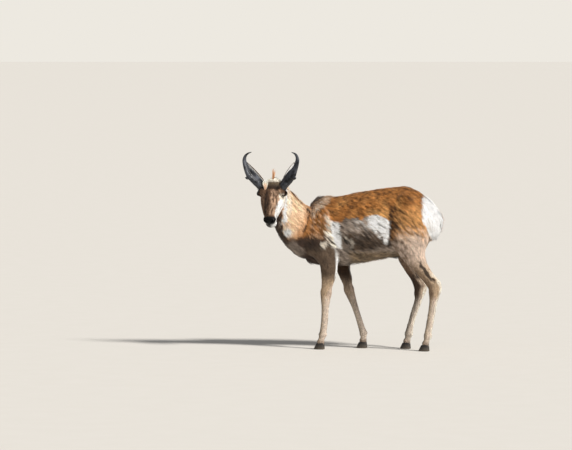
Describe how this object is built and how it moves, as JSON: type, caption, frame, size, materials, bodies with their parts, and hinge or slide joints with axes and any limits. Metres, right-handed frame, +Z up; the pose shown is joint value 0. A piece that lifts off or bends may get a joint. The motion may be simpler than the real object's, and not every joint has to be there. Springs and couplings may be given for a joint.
{
  "type": "pronghorn",
  "caption": "Life-size still model of a pronghorn buck standing broadside, head turned to its left, on hoof soles at one level.",
  "frame": {"origin": "middle of the standing animal's bounding box, on the ground under the hooves", "axes": "+Z up; the body runs along X with its chest towards -X and its rump towards +X; the animal's left side faces -Y"},
  "size_m": [1.1338, 0.4774, 1.149],
  "materials": {
    "coat": "short coarse hair, cinnamon above and white below",
    "eye": "wet gloss, near black",
    "horn": "black horn sheath, low sheen with fine lengthwise ridges",
    "hoof": "dull black horn, worn at the rim"
  },
  "bodies": {
    "root": {"torso": "coat", "neck": "coat", "head": "coat", "tail": "coat", "ear_left": "coat", "ear_right": "coat", "leg_fore_left": "coat", "leg_fore_right": "coat", "leg_hind_left": "coat", "leg_hind_right": "coat", "eye_left": "eye", "eye_right": "eye", "horn_left": "horn", "horn_right": "horn", "hoof_fore_left_inner": "hoof", "hoof_fore_left_outer": "hoof", "hoof_fore_right_inner": "hoof", "hoof_fore_right_outer": "hoof", "hoof_hind_left_inner": "hoof", "hoof_hind_left_outer": "hoof", "hoof_hind_right_inner": "hoof", "hoof_hind_right_outer": "hoof"}
  },
  "joints": []
}
